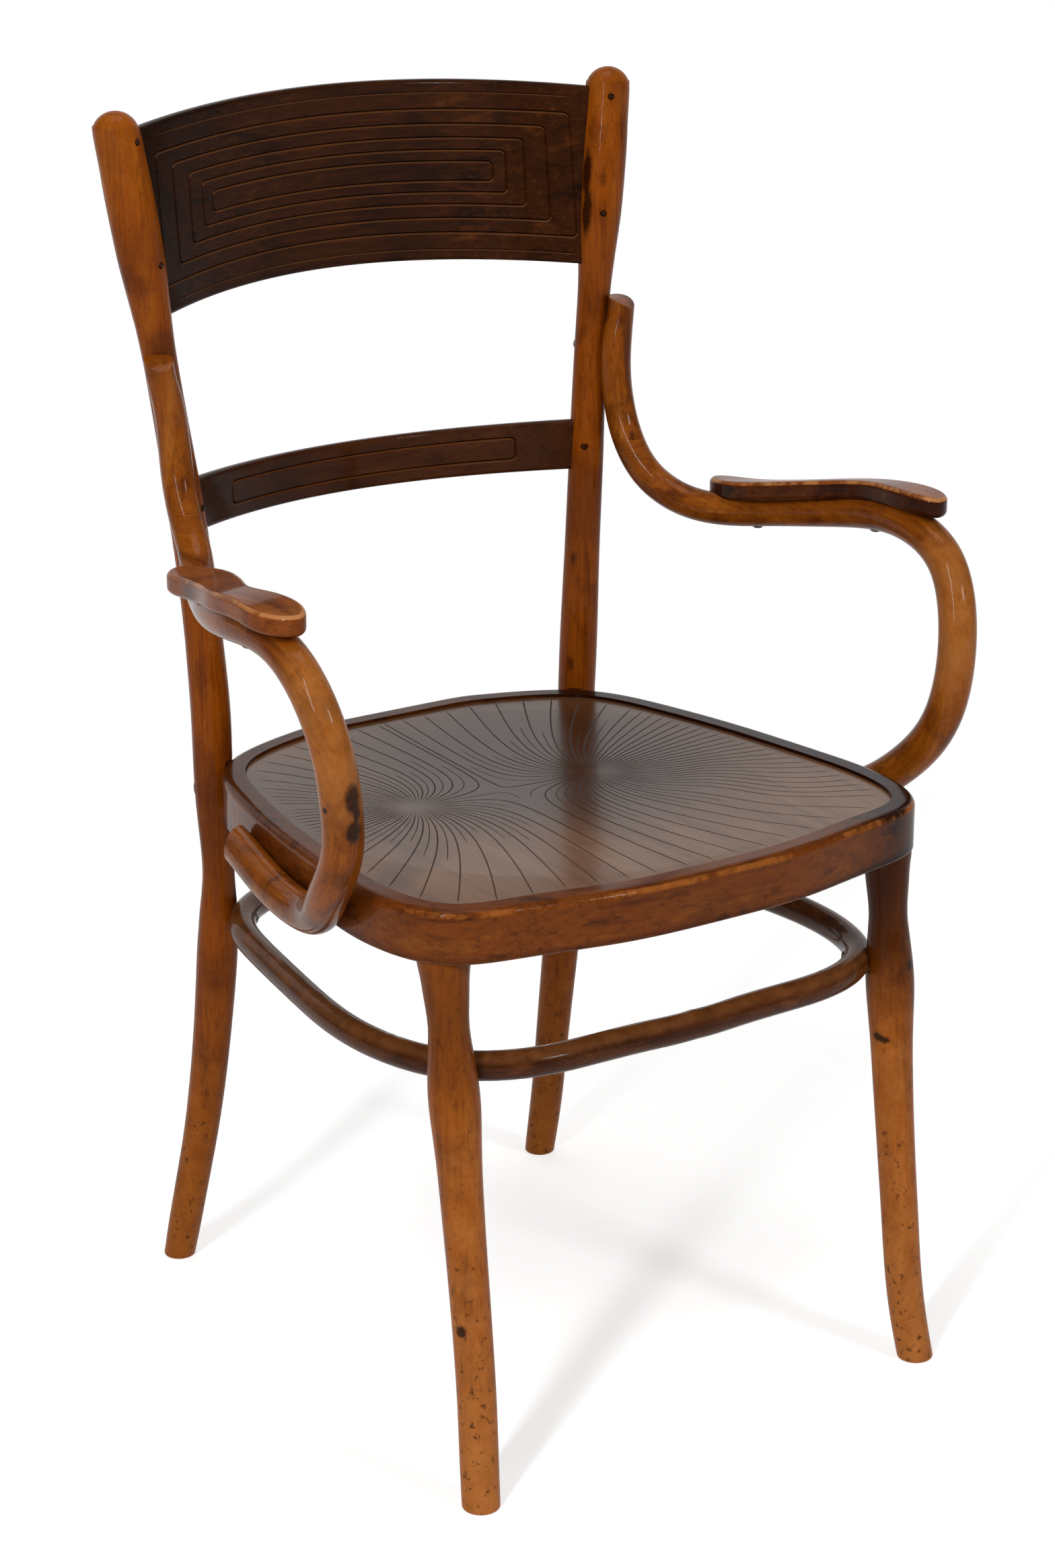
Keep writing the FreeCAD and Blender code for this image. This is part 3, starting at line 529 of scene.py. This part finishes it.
def ring_shade(g):
    """Painted shade along the ring's lower edge; darker also behind the arms, on its upper face
    and round the right front corner.
    """
    under = g.times(g.between(g.z, RING_BOTTOM + 0.009, RING_BOTTOM), 0.6)
    behind = g.times(g.between(g.y, -0.13, 0.05), 0.26)
    top = g.times(g.between(g.z, RING_TOP - 0.006, RING_TOP - 0.001), 0.30)
    corner = g.total(g.times(g.between(g.x, 0.04, 0.18), 0.26),
                     g.times(g.between(g.x, 0.12, 0.20), 0.34))
    return g.total(under, behind, top, corner, g.times(g.blotches(38, 6.0, 0.7, 0.52, 0.68), 0.32))


def ring_wear(g):
    """The upper front edge is rubbed to the bare wood."""
    edge = g.times(g.between(g.z, RING_TOP - 0.007, RING_TOP - 0.004),
                   g.between(g.z, RING_TOP - 0.0005, RING_TOP - 0.002))
    front = g.between(g.y, -0.15, -0.20)
    broken = g.blotches(22, 5.0, 0.7, 0.40, 0.60)
    lower = g.times(g.between(g.z, RING_BOTTOM + 0.004, RING_BOTTOM),
                    g.between(g.y, -0.05, -0.15))
    return g.total(g.times(edge, front, broken, 0.60), g.times(lower, 0.4))


def hoop_shade(g):
    """Painted shade on the underside, and darker toward the right."""
    return g.total(g.times(g.between(g.tilt(), -0.05, -0.6), 0.40),
                   g.times(g.between(g.x, 0.05, 0.20), 0.14))


def hoop_painted_light(g):
    """Painted light: the hoop is made lighter where it looks up."""
    return g.times(g.between(g.tilt(), 0.05, 0.75), 0.46)


def arm_shade(g):
    """Painted shade at the upper end, under the loop and below the left pad's front end; blotched
    all along.
    """
    # Painted shade below the left pad's front end.
    stain = g.times(g.near(*ARM_SHADE_SPOT), 0.35)
    top = g.times(g.between(g.z, 0.70, 0.745), 0.12)
    under = g.times(g.between(g.z, 0.43, 0.40), 0.2)
    return g.total(stain, top, under, g.times(g.blotches(30, 5.0, 0.65, 0.48, 0.64), 0.44), 0.03)


def arm_wear(g):
    """The front of the loop is rubbed, and the rest a little."""
    front = g.times(g.between(g.y, -0.12, -0.165), g.between(g.z, 0.47, 0.53))
    return g.total(g.times(front, 0.42), 0.08)


def pad_shade(g):
    """Painted shade on the pads' walls, most on the right pad; darker low on the front ends, and
    where hands have stained the middle.
    """
    right = g.times(g.between(g.x, -0.1, 0.1), 0.5)
    wall = g.times(g.between(g.tilt(), 0.5, 0.2), g.total(right, 0.12))
    front = g.times(g.between(g.y, -0.128, -0.142), g.between(g.z, 0.628, 0.612), 0.5)
    across = g.math("ABSOLUTE", g.math("SUBTRACT", g.math("ABSOLUTE", g.x), PAD_MIDDLE_X))
    stained_middle = g.times(g.between(across, 0.018, 0.006), 0.22)
    blotches = g.times(g.blotches(26, 5.0, 0.65, 0.50, 0.68), 0.30)
    return g.total(wall, front, blotches, stained_middle)


def pad_wear(g):
    """The rounded rims are rubbed, and so are the upper faces near the front."""
    tilt = g.tilt()
    rim = g.times(g.between(tilt, 0.25, 0.55), g.between(tilt, 0.985, 0.93))
    edge = g.times(rim, g.blotches(40, 5.0, 0.7, 0.38, 0.60), 0.6)
    front = g.times(g.between(g.y, -0.09, -0.14), g.between(tilt, 0.4, 0.7), 0.25)
    return g.total(edge, front, 0.08)


def crest_shade(g):
    """Dark toward the left and along the upper edge."""
    left = g.times(g.between(g.x, -0.02, -0.19), 1.2)
    rim = g.between(g.z, CREST_TOP - 0.020, CREST_TOP - 0.004)
    return g.total(g.times(left, 0.42), g.times(rim, 0.2))


def rail_shade(g):
    return g.times(g.between(g.x, 0.0, -0.15), 0.42)


# Finishes

def panel_material():
    """Pressed plywood under a worn dark varnish that mirrors the room at a low angle."""
    g = Graph("panel_wood")
    along = lengthways_grain(g)
    streak = g.noise(along, 80, 4.0, 0.6)
    fine = g.noise(along, 420, 3.0, 0.7)
    cloud = g.noise(g.place, 9, 3.0)
    color = g.ramp(streak, (
        (0.3, tone(92, 58, 36)), (0.55, tone(115, 78, 50)), (0.8, tone(130, 92, 62))))
    # Painted dark reflection, darkest in the middle of the seat and also on its left.
    middle = g.times(g.near(PANEL_REFLECTION_MIDDLE, 0.22), 0.9)
    left = g.times(g.near(PANEL_REFLECTION_LEFT, 0.16), 0.6)
    color = g.mix(g.math("MAXIMUM", middle, left), color, tone(50, 26, 10))
    cut = g.cut_faces()
    color = g.mix(g.times(cut, 0.62), color, tone(26, 15, 9))
    scuff = g.blotches(120, 5.0, 0.7, 0.60, 0.74)
    rough = g.total(0.20, g.times(cloud, 0.10), g.times(scuff, 0.12), g.times(cut, 0.3))
    normal = g.bump(g.total(fine, g.times(streak, 0.6)), PANEL_BUMP)
    return g.surface({
        "Base Color": color, "Roughness": rough, "Normal": normal, "IOR": 1.25,
        "Coat Weight": 0.1, "Coat Roughness": 0.10,
    })


def steel(name, bright, dull):
    """Old steel, dulled and darkened in spots."""
    g = Graph(name)
    spots = g.noise(g.place, 900, 4.0)
    color = g.ramp(spots, ((0.35, dull), (0.7, bright)))
    rough = g.total(0.35, g.times(spots, 0.3))
    normal = g.bump(spots, STEEL_BUMP)
    return g.surface({
        "Base Color": color, "Roughness": rough, "Metallic": 0.85, "Normal": normal,
    })


def materials():
    """A finish for every material slot of the record."""
    honey = (tone(86, 34, 3), tone(144, 69, 4), tone(166, 90, 15), tone(172, 100, 34))
    leg = (tone(94, 40, 4), tone(158, 82, 13), tone(178, 103, 30), tone(194, 119, 57))
    amber = (tone(84, 34, 4), tone(142, 73, 11), tone(168, 97, 28), tone(182, 114, 54))
    red_brown = (tone(66, 27, 4), tone(118, 58, 12), tone(140, 76, 22), tone(170, 98, 40))
    # The last tones of dark_brown and rail are the painted light on up-facing groove walls.
    dark_brown = (tone(27, 9, 1), tone(56, 25, 4), tone(92, 46, 12), tone(130, 84, 50))
    rail = (tone(42, 17, 3), tone(68, 32, 7), tone(86, 44, 14), tone(120, 68, 30))
    # The hoop's last tone is the painted light on its upper side.
    hoop = (tone(48, 20, 5), tone(84, 42, 13), tone(112, 62, 25), tone(142, 88, 46))
    pad = (tone(82, 34, 8), tone(138, 70, 22), tone(160, 92, 40), tone(186, 124, 72))
    return {
        "post_wood": wood("post_wood", upright_grain, honey, post_shade, post_wear, POST_MARKS,
                          coat=0.38),
        "leg_wood": wood("leg_wood", upright_grain, leg, leg_shade, leg_wear, LEG_MARKS,
                         pits=0.45),
        "ring_wood": wood("ring_wood", round_grain, red_brown, ring_shade, ring_wear,
                          coat=0.55, pits=0.5),
        "panel_wood": panel_material(),
        "hoop_wood": wood("hoop_wood", round_grain, hoop, hoop_shade, hoop_painted_light,
                          coat=0.6, gloss=0.34),
        "crest_wood": wood("crest_wood", sideways_grain, dark_brown, crest_shade,
                           cut=True, coat=0.3, pits=0.1),
        "rail_wood": wood("rail_wood", sideways_grain, rail, rail_shade, cut=True, pits=0.1),
        "arm_wood": wood("arm_wood", arm_grain, amber, arm_shade, arm_wear, ARM_MARKS,
                         coat=0.6, gloss=0.36),
        "pad_wood": wood("pad_wood", lengthways_grain, pad, pad_shade, pad_wear, gloss=0.42),
        "pin_wood": wood("pin_wood", upright_grain, dark_brown, pits=0.1),
        "screw_steel": steel("screw_steel", tone(150, 144, 134), tone(58, 52, 46)),
        "bolt_steel": steel("bolt_steel", tone(140, 134, 124), tone(50, 45, 40)),
    }


def dress(carvings):
    """Put each finish in its slot, and on each carved board the finish of its own solid."""
    finishes = materials()
    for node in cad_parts.values():
        for slot in node.material_slots:
            slot.material = finishes[slot.material.name.split(".")[0]]
    for piece, finish in carvings:
        piece.data.materials[0] = finishes[finish]


# Grooves cut in the seat and the boards of the back

def groove_cutter(lines, groove, out, closed):
    """Wedges to cut grooves with, each along a line of (place, outward) pairs.

    A groove is its half width at the surface and its depth. The wedge stands out of the surface
    and goes on widening there. An open line's ends taper off.
    """
    half, depth = groove
    mesh = bmesh.new()
    for line in lines:
        rings = []
        count = len(line)
        for index, (place, outward) in enumerate(line):
            before = line[index - 1][0] if index or closed else place
            after = line[(index + 1) % count][0] if index + 1 < count or closed else place
            side = (after - before).cross(outward).normalized()
            to_end = count - 1 - index
            size = 1.0 if closed else min(1.0, GROOVE_START[0] + GROOVE_START[1] * index,
                                          GROOVE_END[0] + GROOVE_END[1] * to_end)
            wall = side * half * size
            flare = side * half * (out / depth) * size
            lift = outward * out
            corners = (place + wall + flare + lift, place - wall - flare + lift,
                       place - outward * depth * size)
            rings.append([mesh.verts.new(corner) for corner in corners])
        pairs = list(zip(rings, rings[1:]))
        if closed:
            pairs.append((rings[-1], rings[0]))
        for first, second in pairs:
            for corner in range(3):
                other = (corner + 1) % 3
                mesh.faces.new((first[corner], first[other], second[other], second[corner]))
        if not closed:
            mesh.faces.new(rings[0][::-1])
            mesh.faces.new(rings[-1])
    bmesh.ops.recalc_face_normals(mesh, faces=mesh.faces)
    data = bpy.data.meshes.new("cutter")
    mesh.to_mesh(data)
    mesh.free()
    return bpy.data.objects.new("cutter", data)


def cut_out(piece, cutters, cut):
    """The mesh of a piece with the cutters taken out of it; cut faces get their own material."""
    for cutter in cutters:
        bpy.context.scene.collection.objects.link(cutter)
        cutter.data.materials.append(cut)
        carve = piece.modifiers.new("carve", "BOOLEAN")
        carve.operation = "DIFFERENCE"
        carve.solver = "EXACT"
        carve.material_mode = "TRANSFER"
        carve.object = cutter
    depsgraph = bpy.context.evaluated_depsgraph_get()
    result = bpy.data.meshes.new_from_object(piece.evaluated_get(depsgraph))
    piece.modifiers.clear()
    for cutter in cutters:
        bpy.data.objects.remove(cutter)
    return result


def carved(name, node, cutters):
    """A copy of a CAD solid with grooves cut in it; the cut faces are marked for the material."""
    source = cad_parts[node]
    piece = bpy.data.objects.new(name, source.data.copy())
    bpy.context.scene.collection.objects.link(piece)
    uncut = bpy.data.materials.new("uncut")
    cut = bpy.data.materials.new("cut")
    piece.data.materials.clear()
    piece.data.materials.append(uncut)
    result = cut_out(piece, cutters, cut)
    piece.data = result
    marks = result.attributes.new("cut", "FLOAT", "FACE")
    for face in result.polygons:
        marked = result.materials[face.material_index] == cut
        marks.data[face.index].value = 1.0 if marked else 0.0
        face.material_index = 0
    result.materials.clear()
    result.materials.append(None)
    bpy.data.materials.remove(uncut)
    bpy.data.materials.remove(cut)
    result.shade_smooth()
    keep_source_normals(source.data, result)
    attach(piece, "root")
    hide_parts(node)
    return piece


def keep_source_normals(source, result):
    """Shade the uncut faces as the CAD surface, so that the grooves don't disturb them."""
    source.calc_loop_triangles()
    triangles = source.loop_triangles
    places = [vertex.co for vertex in source.vertices]
    tree = BVHTree.FromPolygons(places, [triangle.vertices[:] for triangle in triangles])
    corner_normals = [corner.vector.copy() for corner in source.corner_normals]
    marks = result.attributes["cut"].data
    normals = [Vector((0, 0, 0))] * len(result.loops)
    for face in result.polygons:
        for index, corner in zip(face.loop_indices, face.vertices):
            normals[index] = face.normal
            if marks[face.index].value > 0.5:
                continue
            inside = result.vertices[corner].co.lerp(face.center, NORMAL_INSET)
            near, _, number, _ = tree.find_nearest(inside)
            triangle = triangles[number]
            shares = poly_3d_calc([places[vertex] for vertex in triangle.vertices], near)
            smooth = Vector((0, 0, 0))
            for loop, share in zip(triangle.loops, shares):
                smooth += corner_normals[loop] * share
            if smooth.normalized().dot(face.normal) > NORMAL_LIKENESS:
                normals[index] = smooth.normalized()
    result.normals_split_custom_set(normals)


def surface_point(node, start, direction):
    """Where a straight probe meets a CAD solid, and the way out of it there, or None."""
    hit, place, normal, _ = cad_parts[node].ray_cast(start, direction)
    return (place, normal) if hit else None


# Boards of the back

def board_point(node, across, up, level, arch, reach):
    """A point on the front of a board, with heights that follow the board's arch."""
    z = level + arch * (1 - (across / reach) ** 2) + up
    return surface_point(node, Vector((across, BOARD_PROBE_Y, z)), Vector((0, 1, 0)))


def oblong_outline(half_length, half_height):
    """Points round an oblong with round corners, close together along its long sides."""
    x = half_length - OBLONG_CORNER
    z = half_height - OBLONG_CORNER
    outline = []
    for turn, (across, up) in enumerate(((x, z), (-x, z), (-x, -z), (x, -z))):
        for step in range(OBLONG_CORNER_STEPS + 1):
            angle = math.radians(90 * turn + 90 // OBLONG_CORNER_STEPS * step)
            outline.append((across + OBLONG_CORNER * math.cos(angle),
                            up + OBLONG_CORNER * math.sin(angle)))
        if turn % 2 == 0:
            level = outline[-1][1]
            for step in range(1, OBLONG_SIDE_STEPS):
                share = step / OBLONG_SIDE_STEPS
                outline.append((across + (-across - across) * share, level))
    return outline


def oblong_loops(node, sizes, *board):
    """Closed lines on a board, one for each oblong."""
    loops = []
    for size in sizes:
        points = [board_point(node, across, up, *board) for across, up in oblong_outline(*size)]
        loops.append([point for point in points if point])
    return loops


def carved_crest():
    board = (CREST_LEVEL, CREST_ARCH, CREST_REACH)
    edges = []
    for up in CREST_EDGE_LINES:
        points = [board_point("crest_rail", CREST_EDGE_STEP * step, up, *board)
                  for step in range(-CREST_EDGE_STEPS, CREST_EDGE_STEPS + 1)]
        edges.append([point for point in points if point])
    loops = oblong_loops("crest_rail", CREST_OBLONGS, *board)
    return carved("crest_board", "crest_rail", [
        groove_cutter(loops, OBLONG_GROOVE, BOARD_CUTTER_OUT, True),
        groove_cutter(edges, EDGE_GROOVE, BOARD_CUTTER_OUT, False)])


def carved_rail():
    loops = oblong_loops("lower_back_rail", RAIL_OBLONGS, RAIL_LEVEL, RAIL_ARCH, RAIL_REACH)
    return carved("lower_rail_board", "lower_back_rail",
                  [groove_cutter(loops, OBLONG_GROOVE, BOARD_CUTTER_OUT, True)])


# Seat

def seat_heading(place):
    """The way a line runs on the seat, away from both centres."""
    heading = Vector((0.0, 0.0))
    for centre in SEAT_CENTRES:
        away = place - Vector(centre)
        heading += away / max(away.length_squared, 1e-9)
    return heading.normalized()


def seat_bend(place):
    """The soft S of the lines toward the front right."""
    away = place - Vector(SEAT_CENTRES[1])
    reach = away.length
    turn = math.atan2(away.y, away.x)
    side, width = SEAT_WAVE_SIDE
    start, rise = SEAT_WAVE_RISE
    window = max(0.0, 1 - abs((turn + side) / width)) * min(1.0, max(0.0, (reach - start) / rise))
    window = window * window * (3 - 2 * window)
    phase = 2 * math.pi * (reach - SEAT_WAVE_START) / SEAT_WAVE_LENGTH
    turn += SEAT_WAVE * window / reach * math.sin(phase)
    return Vector(SEAT_CENTRES[1]) + reach * Vector((math.cos(turn), math.sin(turn)))


def seat_point(flat):
    start = Vector((flat.x, flat.y, SEAT_PROBE_HEIGHT))
    return surface_point("seat_panel", start, Vector((0, 0, -1)))


def seat_line(centre, angle, longest):
    """One line of the seat from near a centre to the rim, or to its own length."""
    place = Vector(centre) + SEAT_LINE_START * Vector((math.cos(angle), math.sin(angle)))
    line = []
    length = 0.0
    while length < longest:
        bent = seat_bend(place)
        found = seat_point(bent)
        if not found or not seat_point(bent + seat_heading(place) * SEAT_LINE_MARGIN):
            break
        line.append(found)
        place = place + seat_heading(place) * SEAT_LINE_STEP
        length += SEAT_LINE_STEP
    return line


def carved_seat():
    """Every second line is short, except on the open sides, where the lines spread apart."""
    long_lines = []
    short_lines = []
    for centre, count, facing in zip(SEAT_CENTRES, SEAT_LINE_COUNTS, SEAT_OPEN_SIDES):
        for index in range(count):
            angle = 2 * math.pi * (index + 0.5) / count
            if index % 2 == 1 and math.cos(angle - facing[0]) < math.cos(facing[1]):
                swing = SEAT_SHORT_LINE_SWING * math.sin(index * SEAT_SHORT_LINE_PACE)
                short_lines.append(seat_line(centre, angle, SEAT_SHORT_LINE + swing))
            else:
                long_lines.append(seat_line(centre, angle, SEAT_LONG_LINE))
    return carved("seat_board", "seat_panel", [
        groove_cutter(long_lines, SEAT_GROOVE, SEAT_CUTTER_OUT, False),
        groove_cutter(short_lines, SEAT_FINE_GROOVE, SEAT_CUTTER_OUT, False)])


# Studio

def floor_material():
    """Pale floor that keeps the chair's shadow, runs out to plain white and is clear from below."""
    g = Graph("studio_floor")
    far = g.between(g.length(g.x, g.y), *FLOOR_FADE)
    grain = g.noise(g.place, 30, 3.0)
    pale = g.ramp(grain, ((0.3, (0.90, 0.90, 0.90, 1.0)), (0.7, (0.92, 0.92, 0.92, 1.0))))
    matt = g.add("ShaderNodeBsdfDiffuse", {"Color": pale}).outputs[0]
    path = g.add("ShaderNodeLightPath").outputs
    seen = g.math("MAXIMUM", path["Is Camera Ray"], path["Is Glossy Ray"])
    seen = g.math("MAXIMUM", seen, path["Is Transmission Ray"])
    lift = g.total(g.times(path["Is Camera Ray"], FLOOR_LIFT),
                   g.times(path["Is Glossy Ray"], FLOOR_MIRRORED_LIFT))
    near = g.add("ShaderNodeAddShader", {0: matt, 1: g.glow(lift)}).outputs[0]
    upper = g.blend(g.times(far, seen), near, g.glow(1.0))
    clear = g.add("ShaderNodeBsdfTransparent").outputs[0]
    behind = g.add("ShaderNodeNewGeometry").outputs["Backfacing"]
    return g.finish(g.blend(behind, upper, clear))


def stage_plane(name, corners, material):
    mesh = bpy.data.meshes.new(name)
    mesh.from_pydata(corners, [], [(0, 1, 2, 3)])
    mesh.materials.append(material)
    plane = bpy.data.objects.new(name, mesh)
    bpy.context.scene.collection.objects.link(plane)


def studio_floor(material):
    reach = FLOOR_REACH
    corners = [(-reach, -reach, 0), (reach, -reach, 0), (reach, reach, 0), (-reach, reach, 0)]
    stage_plane("studio_floor", corners, material)


def backdrop(material):
    """White wall far behind the chair, square to the camera's heading, that the seat mirrors."""
    turn = math.radians(CAMERA_TURN[2])
    heading = Vector((math.sin(-turn), math.cos(turn), 0))
    side = Vector((heading.y, -heading.x, 0)) * BACKDROP_SIZE[0] / 2
    middle = heading * BACKDROP_AWAY
    up = Vector((0, 0, BACKDROP_SIZE[1]))
    corners = [middle - side, middle + side, middle + side + up, middle - side + up]
    stage_plane("backdrop", corners, material)


def lamp(name, place, size, power):
    data = bpy.data.lights.new(name, "AREA")
    data.shape = "RECTANGLE"
    data.size = size[0]
    data.size_y = size[1]
    data.energy = power
    light = bpy.data.objects.new(name, data)
    light.location = place
    aim = Vector(LAMP_TARGET) - Vector(place)
    light.rotation_euler = aim.to_track_quat("-Z", "Y").to_euler()
    bpy.context.scene.collection.objects.link(light)


def studio_light():
    for name, (place, size, power) in LAMPS.items():
        lamp(name, place, size, power)
    world = bpy.data.worlds.new("studio")
    world.use_nodes = True
    world.node_tree.nodes["Background"].inputs["Color"].default_value = WORLD_COLOR
    world.node_tree.nodes["Background"].inputs["Strength"].default_value = WORLD_STRENGTH
    bpy.context.scene.world = world


def camera():
    data = bpy.data.cameras.new("camera")
    data.lens = CAMERA_LENS
    data.sensor_width = CAMERA_SENSOR
    data.clip_end = CAMERA_CLIP_END
    eye = bpy.data.objects.new("camera", data)
    eye.location = CAMERA_PLACE
    eye.rotation_euler = [math.radians(angle) for angle in CAMERA_TURN]
    bpy.context.scene.collection.objects.link(eye)
    bpy.context.scene.camera = eye


dress(((carved_crest(), "crest_wood"), (carved_rail(), "rail_wood"), (carved_seat(), "panel_wood")))
stage_material = floor_material()
studio_floor(stage_material)
backdrop(stage_material)
studio_light()
camera()
bpy.context.scene.view_settings.view_transform = "Standard"
